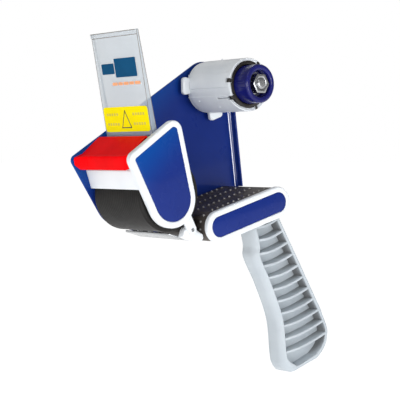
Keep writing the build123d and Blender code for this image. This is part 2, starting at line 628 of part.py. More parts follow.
def notch(turn, width, y_from, y_to, mode):
    """A radial tongue across the spool's wall at an angle, added or cut."""
    reach = HUB_RADIUS - 0.1 if mode == Mode.ADD else HUB_RADIUS + 1
    start = hub_inner - 0.6
    prism([along(along((0, 0), turn, start), turn + 90, -width / 2),
           along(along((0, 0), turn, reach), turn + 90, -width / 2),
           along(along((0, 0), turn, reach), turn + 90, width / 2),
           along(along((0, 0), turn, start), turn + 90, width / 2)], y_from, y_to, mode)


with BuildPart() as hub_spool:
    ring(0, 0, HUB_RADIUS - RELIEF, hub_inner, HUB_FAR, RELIEF_NEAR)
    ring(0, 0, HUB_RADIUS, hub_inner, RELIEF_NEAR, HUB_NEAR)
    disc(0, 0, hub_inner + 0.5, WEB_FAR, WEB_NEAR)
    disc(0, 0, BOSS_OUTER, BOSS_FAR, BOSS_NEAR)
    disc(0, 0, SLEEVE_RADIUS + RUN, BOSS_FAR, BOSS_NEAR, Mode.SUBTRACT)
    for turn in STOP_ANGLES:
        root = along((0, 0), turn, hub_inner + 0.8)
        tip = along((0, 0), turn, STOP_RADIUS - STOP_CORNER)
        hull([(*along(root, turn + 90, STOP_SPREAD), 1.0), (*along(root, turn - 90, STOP_SPREAD), 1.0),
              (*along(tip, turn + 90, STOP_SPREAD - 0.8), STOP_CORNER),
              (*along(tip, turn - 90, STOP_SPREAD - 0.8), STOP_CORNER)], HUB_FAR, HUB_FAR - STOP_WALL)
    for turn in SLOT_ANGLES:
        notch(turn, SLOT_WIDTH, HUB_NEAR + SLOT_LENGTH, HUB_NEAR, Mode.SUBTRACT)
    for turn in SLOT_ANGLES[1:3]:
        notch(turn, SLIT_WIDTH, HUB_NEAR + SLIT_LENGTH, HUB_NEAR, Mode.SUBTRACT)
finish(hub_spool, "hub_spool")

with BuildPart() as brake_ring:
    for turn in SLOT_ANGLES:
        notch(turn, SLOT_WIDTH - 0.2, RING_FAR, RING_NEAR, Mode.ADD)
    disc(0, 0, hub_inner, RING_FAR, RING_NEAR)
    disc(0, 0, KNOB_RADIUS + 0.5, RING_FAR, RING_NEAR, Mode.SUBTRACT)
finish(brake_ring, "brake_ring")

FRICTION_WALL = 1.5
SEAT_GAP = 0.3
SEAT_WALL = 1.2
seat_far = BOSS_NEAR - FRICTION_WALL - SEAT_GAP
with BuildPart() as friction_disc:
    ring(0, 0, 11.0, SLEEVE_RADIUS + 0.3, BOSS_NEAR, BOSS_NEAR - FRICTION_WALL)
finish(friction_disc, "friction_disc")

with BuildPart() as spring_seat:
    ring(0, 0, 11.0, SLEEVE_RADIUS, seat_far, seat_far - SEAT_WALL)
finish(spring_seat, "spring_seat")

SPRING_FAR = 0.4
with BuildPart() as brake_spring:
    coil(0, 0, SPRING_FAR, 8.2, 1.6, 3.6, 6)
finish(brake_spring, "brake_spring")

# ---------------------------------------------------------------- brake knob
KNOB_FRONT = -33.6
KNOB_REAR = -19.5
KNOB_FLOOR_FAR, KNOB_FLOOR_NEAR = -23.6, -26.2
KNOB_BORE = 12.4
RECESS_RADIUS = 9.4
PRESS_WALL = 1.4
NUT_WASHER = 1.4

with BuildPart() as pressure_washer:
    ring(0, 0, 12.0, M8_RADIUS + RUN, KNOB_FLOOR_FAR + PRESS_WALL, KNOB_FLOOR_FAR)
finish(pressure_washer, "pressure_washer")

with BuildPart() as knob:
    disc(0, 0, KNOB_RADIUS, KNOB_REAR, KNOB_FRONT)
    fillet(knob.edges().sort_by(Axis.Y)[0], 1.4)
    disc(0, 0, KNOB_BORE, KNOB_REAR, KNOB_FLOOR_FAR, Mode.SUBTRACT)
    disc(0, 0, RECESS_RADIUS, KNOB_FLOOR_NEAR, KNOB_FRONT, Mode.SUBTRACT)
    disc(0, 0, M8_RADIUS + RUN, KNOB_REAR, KNOB_FRONT, Mode.SUBTRACT)
finish(knob, "knob")

with BuildPart() as knob_washer:
    ring(0, 0, 8.6, M8_RADIUS + RUN, KNOB_FLOOR_NEAR, KNOB_FLOOR_NEAR - NUT_WASHER)
finish(knob_washer, "knob_washer")

nut_far = KNOB_FLOOR_NEAR - NUT_WASHER
with BuildPart() as knob_nut:
    hexagon(0, 0, M8_NUT_FLATS, nut_far, nut_far - M8_NUT_HEIGHT)
    disc(0, 0, M8_RADIUS + RUN, nut_far, nut_far - M8_NUT_HEIGHT, Mode.SUBTRACT)
finish(knob_nut, "knob_nut")
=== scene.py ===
"""Looks for the hand-held tape dispenser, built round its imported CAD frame.
Blender works in metres, in the CAD's own axes. The shapes below are written in millimetres and degrees."""
import json
from math import atan2, cos, degrees, hypot, pi, radians, sin

import bmesh
import bpy
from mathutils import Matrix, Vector


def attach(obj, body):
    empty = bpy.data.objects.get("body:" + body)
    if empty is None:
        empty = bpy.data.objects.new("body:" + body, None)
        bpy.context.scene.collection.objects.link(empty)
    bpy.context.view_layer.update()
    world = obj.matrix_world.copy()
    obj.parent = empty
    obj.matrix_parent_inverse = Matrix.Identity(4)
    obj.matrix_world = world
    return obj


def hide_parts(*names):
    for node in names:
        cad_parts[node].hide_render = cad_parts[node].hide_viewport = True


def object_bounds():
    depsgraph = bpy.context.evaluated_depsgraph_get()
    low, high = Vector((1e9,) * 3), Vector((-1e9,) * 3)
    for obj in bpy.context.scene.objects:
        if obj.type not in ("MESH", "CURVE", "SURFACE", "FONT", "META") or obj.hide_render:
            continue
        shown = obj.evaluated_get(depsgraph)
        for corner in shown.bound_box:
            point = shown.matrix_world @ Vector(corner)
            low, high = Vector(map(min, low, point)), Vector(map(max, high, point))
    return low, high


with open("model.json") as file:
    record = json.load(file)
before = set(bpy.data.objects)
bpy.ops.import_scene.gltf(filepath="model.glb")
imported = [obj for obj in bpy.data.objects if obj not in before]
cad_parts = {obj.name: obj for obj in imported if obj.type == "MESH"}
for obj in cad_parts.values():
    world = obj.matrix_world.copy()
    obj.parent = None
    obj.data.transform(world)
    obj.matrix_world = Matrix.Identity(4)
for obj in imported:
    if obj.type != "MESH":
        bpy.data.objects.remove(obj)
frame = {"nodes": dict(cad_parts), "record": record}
cad_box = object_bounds()

MM = 0.001

# ---------------------------------------------------------------- materials
MOTTLE_SPAN = (0.32, 0.70)              # noise levels at which the two colours are pure
GLOSS_SPAN = (0.3, 0.7)                 # noise levels of the lowest and the highest roughness
RELIEF_DEPTH = 0.0002
SHEEN_SLOPE = (-26.0, 0.0, 28.0)         # per metre: the painted sheen, a reflection painted into the lacquer, grows towards the nose and the crown
SHEEN_SPAN = (0.20, 1.45)
SHADE_REACH = 0.012                    # how far off a facing wall still darkens a face with painted shade
SHADE_SPAN = (-0.10, 0.27)
SHADE_LEAN = (0.6, 0.0, 0.0)           # faces that look forward get more painted shade, as if they lay deeper


def surface(name, dark, light, rough, grain=60.0, fine=1400.0, relief=0.05, stretch=(1, 1, 1), painted_sheen=None,
            painted_shade=None, **settings):
    """A procedural surface: broad mottling between two colours, uneven gloss, and a fine relief.
    dark and light are linear colours, rough is (lowest, highest), stretch squeezes the pattern along
    an axis, the sheen colour is painted in towards the tool's nose and crown as a painted sheen, a soft
    reflection on the lacquer, and the shade colour is painted into deep pockets and onto faces that look
    forward as painted shade. Settings are the shader's own sockets."""
    material = bpy.data.materials.new(name)
    material.use_nodes = True
    nodes, links = material.node_tree.nodes, material.node_tree.links
    shader = nodes["Principled BSDF"]
    place = nodes.new("ShaderNodeTexCoord")
    squeeze = nodes.new("ShaderNodeMapping")
    squeeze.inputs["Scale"].default_value = stretch
    links.new(place.outputs["Object"], squeeze.inputs["Vector"])

    def noise(scale, detail, roughness):
        """The level of a noise that lies still on the object."""
        texture = nodes.new("ShaderNodeTexNoise")
        texture.inputs["Scale"].default_value = scale
        texture.inputs["Detail"].default_value = detail
        texture.inputs["Roughness"].default_value = roughness
        links.new(squeeze.outputs["Vector"], texture.inputs["Vector"])
        return texture.outputs["Fac"]

    def share(value, span, result=(0.0, 1.0), kind="LINEAR"):
        """A value mapped from one span onto another."""
        mapping = nodes.new("ShaderNodeMapRange")
        mapping.interpolation_type = kind
        for key, number in zip(("From Min", "From Max", "To Min", "To Max"), (*span, *result)):
            mapping.inputs[key].default_value = number
        links.new(value, mapping.inputs["Value"])
        return mapping.outputs["Result"]

    def dot(vector, slope):
        """How far a vector reaches along a slope."""
        product = nodes.new("ShaderNodeVectorMath")
        product.operation = "DOT_PRODUCT"
        product.inputs[1].default_value = slope
        links.new(vector, product.inputs[0])
        return product.outputs["Value"]

    def blended(factor, constant, at, other, at_other):
        """A colour between a constant at one socket of a mix and a linked colour at the other."""
        blend = nodes.new("ShaderNodeMix")
        blend.data_type = "RGBA"
        blend.inputs[at].default_value = (*constant, 1)
        links.new(factor, blend.inputs["Factor"])
        links.new(other, blend.inputs[at_other])
        return blend.outputs["Result"]

    tint = nodes.new("ShaderNodeValToRGB")
    for element, position, colour in zip(tint.color_ramp.elements, MOTTLE_SPAN, (dark, light)):
        element.position = position
        element.color = (*colour, 1)
    links.new(noise(grain, 4.0, 0.55), tint.inputs["Fac"])
    colour = tint.outputs["Color"]
    # painted sheen: a lighter cyan blue towards the nose and crown stands in for a soft reflection on the
    # lacquer
    if painted_sheen:
        height = dot(place.outputs["Object"], SHEEN_SLOPE)
        colour = blended(share(height, SHEEN_SPAN, kind="SMOOTHSTEP"), painted_sheen, "B", colour, "A")
    # painted shade: faces in pockets found by ambient occlusion, and faces that look forward, are darkened
    # towards a dark grey that stands in for shade
    elif painted_shade:
        pocket = nodes.new("ShaderNodeAmbientOcclusion")
        pocket.samples = 8
        pocket.inputs["Distance"].default_value = SHADE_REACH
        facing = nodes.new("ShaderNodeNewGeometry")
        forward = nodes.new("ShaderNodeMath")
        forward.operation = "MINIMUM"
        forward.inputs[1].default_value = 0.0
        links.new(dot(facing.outputs["True Normal"], SHADE_LEAN), forward.inputs[0])
        openness = nodes.new("ShaderNodeMath")
        openness.operation = "ADD"
        links.new(pocket.outputs["AO"], openness.inputs[0])
        links.new(forward.outputs["Value"], openness.inputs[1])
        colour = blended(share(openness.outputs["Value"], SHADE_SPAN), painted_shade, "A", colour, "B")
    links.new(colour, shader.inputs["Base Color"])
    links.new(share(noise(grain * 6.0, 5.0, 0.6), GLOSS_SPAN, rough), shader.inputs["Roughness"])

    bump = nodes.new("ShaderNodeBump")
    bump.inputs["Strength"].default_value = relief
    bump.inputs["Distance"].default_value = RELIEF_DEPTH
    links.new(noise(fine, 3.0, 0.5), bump.inputs["Height"])
    links.new(bump.outputs["Normal"], shader.inputs["Normal"])
    for key, value in settings.items():
        shader.inputs[key.replace("_", " ")].default_value = value
    return material


COAT = {"Specular_IOR_Level": 0.10, "Coat_Weight": 0.16, "Coat_Roughness": 0.06}
# the colour of the painted sheen, a reflection painted into the blue lacquer and inlay
SHEEN_BLUE = (0.001, 0.058, 0.30)
paint = {
    # the blue lacquer carries a painted sheen towards the nose and crown
    "blue_lacquer": surface("blue_lacquer", (0.006, 0.021, 0.165), (0.009, 0.029, 0.205), (0.26, 0.34),
                            grain=14, fine=2400, relief=0.012, painted_sheen=SHEEN_BLUE, **COAT),
    "blue_bend": surface("blue_bend", (0.006, 0.021, 0.165), (0.009, 0.029, 0.205), (0.10, 0.16),
                         grain=14, fine=2400, relief=0.01,
                         Coat_Weight=1.0, Coat_Roughness=0.04, Coat_IOR=1.6),
    # the blue inlay carries the same painted sheen
    "blue_inlay": surface("blue_inlay", (0.006, 0.021, 0.175), (0.009, 0.029, 0.215), (0.22, 0.30),
                          grain=12, fine=2400, relief=0.010, painted_sheen=SHEEN_BLUE, **COAT),
    "white_plastic": surface("white_plastic", (0.74, 0.775, 0.81), (0.80, 0.83, 0.86), (0.30, 0.40),
                             fine=2600, relief=0.02),
    "spool_plastic": surface("spool_plastic", (0.70, 0.74, 0.78), (0.79, 0.82, 0.85), (0.30, 0.42),
                             grain=45, fine=2600, relief=0.02),
    # the grip's cells take painted shade: a dark grey in their pockets and on their forward-facing walls
    "grip_plastic": surface("grip_plastic", (0.48, 0.53, 0.575), (0.545, 0.595, 0.635), (0.36, 0.48),
                            grain=40, fine=2600, relief=0.02, painted_shade=(0.19, 0.195, 0.20),
                            Specular_IOR_Level=0.3),
    "black_plastic": surface("black_plastic", (0.016, 0.014, 0.013), (0.028, 0.024, 0.022), (0.24, 0.38),
                             fine=2400, relief=0.05, Specular_IOR_Level=0.3),
    "black_moulding": surface("black_moulding", (0.050, 0.042, 0.037), (0.080, 0.068, 0.061), (0.40, 0.52),
                              fine=2400, relief=0.05, Specular_IOR_Level=0.25),
    # painted highlight: the studs' light grey stands in for their glints
    "stud_glint_paint": surface("stud_glint_paint", (0.19, 0.185, 0.18), (0.32, 0.31, 0.30), (0.14, 0.24),
                               grain=90, fine=2400, relief=0.03, Coat_Weight=0.6, Coat_Roughness=0.05),
    "black_rubber": surface("black_rubber", (0.011, 0.0105, 0.010), (0.017, 0.016, 0.015), (0.42, 0.54),
                            grain=70, fine=2600, relief=0.08, Specular_IOR_Level=0.15),
    "red_plastic": surface("red_plastic", (0.80, 0.001, 0.003), (0.92, 0.002, 0.005), (0.30, 0.40),
                           fine=2600, relief=0.02,
                           Specular_IOR_Level=0.03, Coat_Weight=0.02, Coat_Roughness=0.15),
    "clear_plastic": surface("clear_plastic", (0.47, 0.53, 0.58), (0.53, 0.59, 0.64), (0.08, 0.16),
                             grain=18, fine=300, relief=0.02, Alpha=0.5, IOR=1.49),
    # painted shade: dark films on the clear flap's edges stand in for the darkening its edges show by
    # refraction
    "edge_shade_paint": surface("edge_shade_paint", (0.16, 0.14, 0.12), (0.26, 0.23, 0.20), (0.2, 0.3),
                           relief=0.03, Alpha=0.75),
    "yellow_label": surface("yellow_label", (0.90, 0.77, 0.0), (0.97, 0.84, 0.0), (0.30, 0.40),
                            relief=0.03, Specular_IOR_Level=0.03),
    "print_ink": surface("print_ink", (0.001, 0.060, 0.150), (0.002, 0.075, 0.185), (0.30, 0.42),
                         relief=0.03, Specular_IOR_Level=0.05),
    "orange_ink": surface("orange_ink", (0.80, 0.32, 0.13), (0.95, 0.42, 0.20), (0.30, 0.42), relief=0.05),
    "dark_ink": surface("dark_ink", (0.03, 0.03, 0.02), (0.07, 0.06, 0.03), (0.35, 0.45), relief=0.05),
    "faint_ink": surface("faint_ink", (0.62, 0.52, 0.03), (0.70, 0.60, 0.05), (0.35, 0.45), relief=0.05),
    "blue_plastic": surface("blue_plastic", (0.007, 0.008, 0.10), (0.010, 0.013, 0.15), (0.20, 0.28),
                            fine=2400, relief=0.02,
                            Specular_IOR_Level=0.25, Coat_Weight=0.15, Coat_Roughness=0.1),
    "core_plastic": surface("core_plastic", (0.05, 0.05, 0.055), (0.08, 0.08, 0.09), (0.4, 0.55), relief=0.1),
    "fibre": surface("fibre", (0.10, 0.05, 0.025), (0.20, 0.11, 0.06), (0.7, 0.85), fine=2500, relief=0.4),
    "zinc_steel": surface("zinc_steel", (0.34, 0.35, 0.36), (0.50, 0.51, 0.52), (0.20, 0.34),
                          grain=90, fine=1500, relief=0.10, Metallic=1.0),
    "bright_steel": surface("bright_steel", (0.34, 0.34, 0.35), (0.52, 0.52, 0.53), (0.16, 0.30),
                            fine=900, relief=0.10, stretch=(1, 0.1, 1), Metallic=1.0),
    "spring_steel": surface("spring_steel", (0.28, 0.20, 0.11), (0.48, 0.38, 0.24), (0.25, 0.40),
                            relief=0.08, Metallic=1.0),
}
LOOK = {"base_shell": "black_moulding"}     # nodes whose look is finer than their slot's
node_slot = {piece["node"]: piece["material_slot"] for piece in frame["record"]["subparts"]}
for name, node in frame["nodes"].items():
    node.data.materials.clear()
    node.data.materials.append(paint[LOOK.get(name, node_slot[name])])


# ---------------------------------------------------------------- helpers


def crease(mesh, angle=32.0):
    """Smooth shading, with edges sharper than the angle kept crisp."""
    work = bmesh.new()
    work.from_mesh(mesh)
    for face in work.faces:
        face.smooth = True
    for edge in work.edges:
        edge.smooth = len(edge.link_faces) == 2 and edge.calc_face_angle(pi) < radians(angle)
    work.to_mesh(mesh)
    work.free()


def show(mesh, name, body, material, stands_for=()):
    """Put a mesh in the scene as a piece that rides on a body."""
    piece = bpy.data.objects.new(name, mesh)
    bpy.context.scene.collection.objects.link(piece)
    mesh.materials.clear()
    mesh.materials.append(paint[material])
    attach(piece, body)
    if stands_for:
        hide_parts(*stands_for)
    return piece


def applied(piece):
    """Replace a piece's mesh by what its modifiers make of it."""
    bpy.context.view_layer.update()
    graph = bpy.context.evaluated_depsgraph_get()
    mesh = bpy.data.meshes.new_from_object(piece.evaluated_get(graph))
    piece.modifiers.clear()
    piece.data = mesh
    return mesh


def body_of(node):
    """The body a CAD node belongs to."""
    for body, members in frame["record"]["behaviour"]["bodies"].items():
        if node in members:
            return body


def refined(node, bevel):
    """A CAD node's shape as a welded mesh with its flat faces whole and its edges rounded."""
    mesh = frame["nodes"][node].data.copy()
    mesh.name = node + "_shape"
    work = bmesh.new()
    work.from_mesh(mesh)
    bmesh.ops.remove_doubles(work, verts=work.verts, dist=2e-6)
    bmesh.ops.dissolve_limit(work, angle_limit=radians(0.5), verts=work.verts, edges=work.edges)
    work.to_mesh(mesh)
    work.free()
    look = LOOK.get(node, node_slot[node])
    piece = show(mesh, node + "_piece", body_of(node), look, [node])
    rounded(piece, bevel, 30)
    crease(applied(piece), 40)


def rounded(piece, bevel, angle):
    """Round a piece's edges that are sharper than the angle."""
    edge = piece.modifiers.new("round_over", "BEVEL")
    edge.width = bevel * MM
    edge.segments = 2
    edge.limit_method = "ANGLE"
    edge.angle_limit = radians(angle)
    edge.use_clamp_overlap = False


def skin(loops, closed_ends=True, bevel=0.0):
    """A mesh through loops of the same number of points, in order, with flat ends."""
    mesh = bpy.data.meshes.new("skin")
    work = bmesh.new()
    rows = [[work.verts.new(Vector(point) * MM) for point in loop] for loop in loops]
    count = len(rows[0])
    for first, second in zip(rows, rows[1:]):
        for i in range(count):
            j = (i + 1) % count
            work.faces.new((first[i], first[j], second[j], second[i]))
    if closed_ends:
        work.faces.new(list(reversed(rows[0])))
        work.faces.new(rows[-1])
    bmesh.ops.recalc_face_normals(work, faces=work.faces)
    if bevel:
        bmesh.ops.bevel(work, geom=list(work.edges), offset=bevel * MM, segments=3, affect="EDGES",
                        profile=0.5)
    work.to_mesh(mesh)
    work.free()
    crease(mesh)
    return mesh


def stretched(circles, inset, y, samples=240):
    """The outline stretched round circles (x, z, radius), drawn in by inset, at a given y."""
    points = []
    for i in range(samples):
        turn = 2 * pi * i / samples
        nx, nz = cos(turn), sin(turn)
        x, z, r = max(circles, key=lambda c: c[0] * nx + c[1] * nz + c[2])
        points.append((x + (r - inset) * nx, y, z + (r - inset) * nz))
    return points


def quarter(steps):
    """The cosines and sines of a quarter turn, in equal steps."""
    return [(cos(pi / 2 * k / steps), sin(pi / 2 * k / steps)) for k in range(steps + 1)]


def rounding(edge_inset, edge_y, radius, toward):
    """Layers (inset, y) that turn a corner from a wall onto a face; toward is 1 or -1, the way it looks."""
    return [(edge_inset + radius * (1 - c), edge_y - toward * radius * (1 - s)) for c, s in quarter(4)]


def edged(far, near, far_corner, near_corner):
    """Layers (inset, y) of a wall between two faces, with both its corners rounded."""
    return rounding(0, far, far_corner, 1)[::-1] + rounding(0, near, near_corner, -1)


def slab(circles, layers):
    """A plate along y whose outline is stretched round circles, through layers (inset, y)."""
    return skin([stretched(circles, inset, y) for inset, y in layers])


def rings(x, z, profile, samples):
    """Circles about an axis along y, through (radius, y)."""
    return [[(x + r * cos(2 * pi * i / samples), y, z + r * sin(2 * pi * i / samples))
             for i in range(samples)] for r, y in profile]


def tube(x, z, profile, samples=96):
    """A round hollow piece about an axis along y: a closed profile of (radius, y) turned round it."""
    return skin(rings(x, z, [*profile, profile[0]], samples), closed_ends=False)


def bar(points, y_from, y_to, bevel=0.3):
    """A straight-sided bar along y with corners (x, z), and its edges rounded."""
    return skin([[(x, y, z) for x, z in points] for y in (y_from, y_to)], bevel=bevel)


def joined(meshes):
    """Several meshes as one."""
    work = bmesh.new()
    for mesh in meshes:
        work.from_mesh(mesh)
        bpy.data.meshes.remove(mesh)
    mesh = bpy.data.meshes.new("joined")
    work.to_mesh(mesh)
    work.free()
    return mesh


def along(start, angle, distance, lift=0.0):
    """The point at a distance along a slope, and a lift square to it."""
    turn = radians(angle)
    return (start[0] + distance * cos(turn) - lift * sin(turn),
            start[1] + distance * sin(turn) + lift * cos(turn))


# ---------------------------------------------------------------- the frame's main places
PLATE_OUT, PLATE_IN = 28.5, 27.0        # the side plate's two faces, along y
CHEEK_IN, NEAR_FACE = -26.5, -31.0      # the inner and outer faces of the near cheek
COVER_IN = -27.0                        # the base cover's inner face
RIM, DEPTH = 4.1, 1.2                   # the width of the white rims, and how deep their recess is
ROLLER = (-74.0, -75.2)
ROLLER_R = 24.7

# ---------------------------------------------------------------- side plate
plate_outline = [(-111.6, -52.9, 4.0), (0, 0, 18.5), (6.5, -1.0, 18.0), (22.5, -80.0, 13.0),
                 (-34.5, -97.4, 11.0), (-74.0, -75.2, 23.2)]
flange_foot, flange_run = (34.4, -72.0), (-8.5, 62.0)
flange_turn = degrees(atan2(flange_run[1], flange_run[0]))
flange_length = hypot(*flange_run)
FLANGE_WALL = 1.5
FILLET = 3.0
SINK = 0.1              # how far the strip that fills the bend goes into the sheet
STRIP_STEPS = 24
fillet_wall, fillet_floor = along(flange_foot, flange_turn, 0, FLANGE_WALL), PLATE_IN + SINK
side = radians(flange_turn + 90)
fillet_loops = []
for step in range(STRIP_STEPS + 1):
    x, z = along(fillet_wall, flange_turn, flange_length * (0.01 + 0.98 * step / STRIP_STEPS), -SINK)
    loop = [(x, fillet_floor, z)]
    for c, s in quarter(8):
        reach = (FILLET + SINK) * (1 - s)
        loop.append((x + reach * cos(side), fillet_floor - FILLET * (1 - c), z + reach * sin(side)))
    fillet_loops.append(loop)
show(skin(fillet_loops), "plate_bend", "frame", "blue_bend")
plate = joined([
    slab(plate_outline, edged(PLATE_OUT, PLATE_IN, 0.5, 0.4)),
    bar([along(flange_foot, flange_turn, 0), along(flange_foot, flange_turn, flange_length),
         along(flange_foot, flange_turn, flange_length, FLANGE_WALL),
         along(flange_foot, flange_turn, 0, FLANGE_WALL)], PLATE_IN + 0.4, PLATE_IN - 5.0, 0.45)])
show(plate, "side_plate", "frame", "blue_lacquer", stands_for=["frame_plate"])

# ---------------------------------------------------------------- nose housing
cheek = [(-75.4, -77.9, 15.0 + RIM), (-104.7, -52.4, 1.5 + RIM), (-74.6, -33.8, 3.0 + RIM)]
guard_rear = (-93.6, -36.9)
down = 180 + 39.7       # the slope from the guard's rear edge to the nose
DROP = 7.8              # how far the bridge lies under that slope
bridge_rear = along(guard_rear, down, 0.5, DROP)
bridge_front = along(guard_rear, down, 16.5, DROP)
band_top, band_foot = (-103.9, -59.8), (-99.8, -71.7)
recess_floor = NEAR_FACE + DEPTH
bosses = [(-97.9, -55.9), (-86.3, -47.1)]


def rim_layers(inner_face, corner, rim):
    """Layers (inset, y) of a raised rim: its wall, its rounded crown and the recess inside it."""
    return (edged(inner_face, NEAR_FACE, 0.5, corner)
            + [(rim - 0.5 * (1 - s), NEAR_FACE + 0.5 * (1 - c)) for c, s in quarter(3)]
            + [(rim, recess_floor)])


housing = joined([
    slab(cheek, rim_layers(CHEEK_IN, 1.0, RIM)),
    bar([bridge_rear, bridge_front, along(bridge_front, down, 0, 2.5), along(bridge_rear, down, 0, 2.5)],
        PLATE_IN, CHEEK_IN),
    bar([bridge_front, band_top, band_foot, (band_foot[0] + 2.0, band_foot[1] + 0.6),
         (band_top[0] + 2.0, band_top[1] + 0.6), along(bridge_front, down, -2.0, 0.5)], PLATE_IN, CHEEK_IN),
    *[skin(rings(x, z, [(3.2, PLATE_IN - 10), (3.6, PLATE_IN - 9.6), (3.6, PLATE_IN)], 48))
      for x, z in bosses],
    slab([(-64.0, -87.0, 4.0), (-57.2, -98.4, 3.4)], edged(CHEEK_IN, CHEEK_IN - 2.5, 0.4, 0.6))])
show(housing, "nose_shell", "frame", "white_plastic", stands_for=["nose_housing"])


def inlay(rim_circles, rim, name, node):
    """A glossy panel set in the recess inside a rim, flush with it."""
    gap = 0.12
    layers = [(gap, recess_floor), (gap, NEAR_FACE + 0.45)] + rounding(gap, NEAR_FACE + 0.05, 0.4, -1)
    panel = slab([(x, z, r - rim) for x, z, r in rim_circles], layers)
    show(panel, name, "frame", "blue_inlay", stands_for=[node])


inlay(cheek, RIM, "cheek_inlay", "nose_panel")

# ---------------------------------------------------------------- base cover
COVER_RIM = RIM - 0.2
cover = [(-34.5, -97.4, 11.0), (20.0, -82.2, 11.0)]
show(slab(cover, rim_layers(COVER_IN, 1.2, COVER_RIM)), "cover_rim", "frame", "white_plastic",
     stands_for=["base_cover"])
inlay(cover, COVER_RIM, "cover_inlay", "base_panel")

# ---------------------------------------------------------------- anti-stick studs on the base shell
BASE_ANGLE = degrees(atan2(15.2, 54.5))
SHELL_R, STUD_PITCH = 10.3, 5.0
STUD_ROWS = (-22.0, -7.0, 8.0, 23.0)
STUD_SHAPE = ((0.92, -0.2), (0.84, 0.25), (0.68, 0.62), (0.46, 0.88), (0.24, 1.0), (0.08, 1.03))
square_up = 90 + BASE_ANGLE
base_middle = ((cover[0][0] + cover[1][0]) / 2, (cover[0][1] + cover[1][1]) / 2)
stud_feet = [(along(base_middle, BASE_ANGLE, STUD_PITCH * (k - 5)), square_up) for k in range(11)]
stud_feet += [(cover[0][:2], square_up + degrees(STUD_PITCH / SHELL_R) * k) for k in (1, 2, 3)]
studs = []
for foot, turn in stud_feet:
    rise = (cos(radians(turn)), sin(radians(turn)))
    for y in STUD_ROWS:
        loops = []
        for r, height in STUD_SHAPE:
            x, z = foot[0] + rise[0] * (SHELL_R + height), foot[1] + rise[1] * (SHELL_R + height)
            loops.append([(x - r * cos(pi * k / 10) * rise[1], y + r * sin(pi * k / 10),
                           z + r * cos(pi * k / 10) * rise[0]) for k in range(20)])
        studs.append(skin(loops))
# the studs take a light grey that paints in their glints
show(joined(studs), "shell_studs", "frame", "stud_glint_paint")

# ---------------------------------------------------------------- blade guard
GUARD_FAR, GUARD_NEAR = 26.4, -25.9
LIP = 281.2             # the way the guard's lip hangs
guard_nose = along(guard_rear, down, 21.3)
lip_foot = along(guard_nose, LIP, 8.8)


def guard_section(y, flare, draw_back):
    """The guard's closed cross-section at a given y. Its lip flares out to the plate, or is drawn back."""
    bend = along((guard_nose[0] - 4.6 * flare, guard_nose[1] - 1.0 * flare), down + 180, draw_back)
    foot = along((lip_foot[0] - 1.0 * flare, lip_foot[1]), down + 180, draw_back * 1.3)
    top_end = along(guard_nose, down + 180, 2.6 + draw_back + flare)
    outer = [guard_rear, along(guard_rear, down, 7.0), along(guard_rear, down, 13.0), top_end,
             along(bend, down, -1.4, 0.0), along(bend, down, -0.6, -0.1), along(bend, down, -0.1, 0.35),
             along(bend, LIP, 1.1), along(bend, LIP, 4.5), along(foot, LIP, -0.3),
             along(foot, LIP, 0.0, 0.4)]
    inner = [along(foot, LIP, 0.0, 1.3), along(foot, LIP, -0.3, 1.6), along(bend, LIP, 4.5, 1.9),
             along(bend, LIP, 3.0, 2.0), along(top_end, down, 0.0, 2.1), along(guard_rear, down, 13.0, 2.0),
             along(guard_rear, down, 7.0, 2.0), along(guard_rear, down, 0.0, 2.0)]
    return [(x, y, z) for x, z in outer + inner]


MITRE = 8.6             # how far from its end the guard starts to flare
sections = [(GUARD_FAR, 0.96, 0.0), (GUARD_FAR - 0.3, 1.0, 0.0), (GUARD_FAR - MITRE, 0.02, 0.0),
            (GUARD_FAR - MITRE - 0.5, 0.0, 0.0), (10.0, 0.0, 0.0), (0.0, 0.0, 0.0), (-10.0, 0.0, 0.0),
            (GUARD_NEAR + 4.0, 0.0, 0.0), (GUARD_NEAR + 3.4, 0.0, 0.12), (GUARD_NEAR + 0.3, 0.0, 1.9),
            (GUARD_NEAR, 0.0, 2.2)]
pin = (-92.6, -42.3)
EAR_WALL = 2.2
ear = [(*pin, 2.4), (*along(guard_rear, down, 1.5, 1.5), 1.4), (*along(guard_rear, down, 6.5, 1.5), 1.4)]
ears = [slab(ear, edged(y, y - EAR_WALL, 0.3, 0.3)) for y in (GUARD_FAR, GUARD_NEAR + EAR_WALL)]
guard = joined([skin([guard_section(*section) for section in sections]), *ears])
show(guard, "guard_shell", "guard", "red_plastic", stands_for=["blade_guard"])

# ---------------------------------------------------------------- pressing roller
tyre_edge = [(ROLLER_R - 4.0, 25.0), (ROLLER_R - 1.2, 25.0), (ROLLER_R - 0.5, 24.8), (ROLLER_R - 0.1, 24.3),
             (ROLLER_R, 23.6)]
grooves = []
for y in range(22, -23, -2):
    grooves += [(ROLLER_R, y + 0.35), (ROLLER_R - 0.06, y), (ROLLER_R, y - 0.35)]
tyre = tube(*ROLLER, tyre_edge + grooves + [(r, -y) for r, y in reversed(tyre_edge)], 160)
show(tyre, "tyre", "roller", "black_rubber", stands_for=["roller_tyre"])

# ---------------------------------------------------------------- tape spool
HUB_R, HUB_WALL, HUB_FAR, HUB_NEAR = 18.75, 2.2, 24.0, -22.0
NOTCHES = (173, 212, 294, 60)
SLITS = (212, 294)
LOW_SEGMENTS = ((66, 154), (188, 206))
SEAMS = ((154.5, 0.6, 0.55), (188.2, 0.4, 0.3))     # where, half as wide, how deep
FINGER = (213, 257)
hub_rows = [HUB_FAR, 20.8, 20.6] + [20 - 1.0 * k for k in range(26)] + [-5.6 - 0.4 * k for k in range(42)]
hub_rows = [y for y in hub_rows if y > HUB_NEAR + 0.05] + [HUB_NEAR]
ARC = 480


def away(turn, middle):
    """Degrees from a direction, either way."""
    return abs((turn - middle + 180) % 360 - 180)


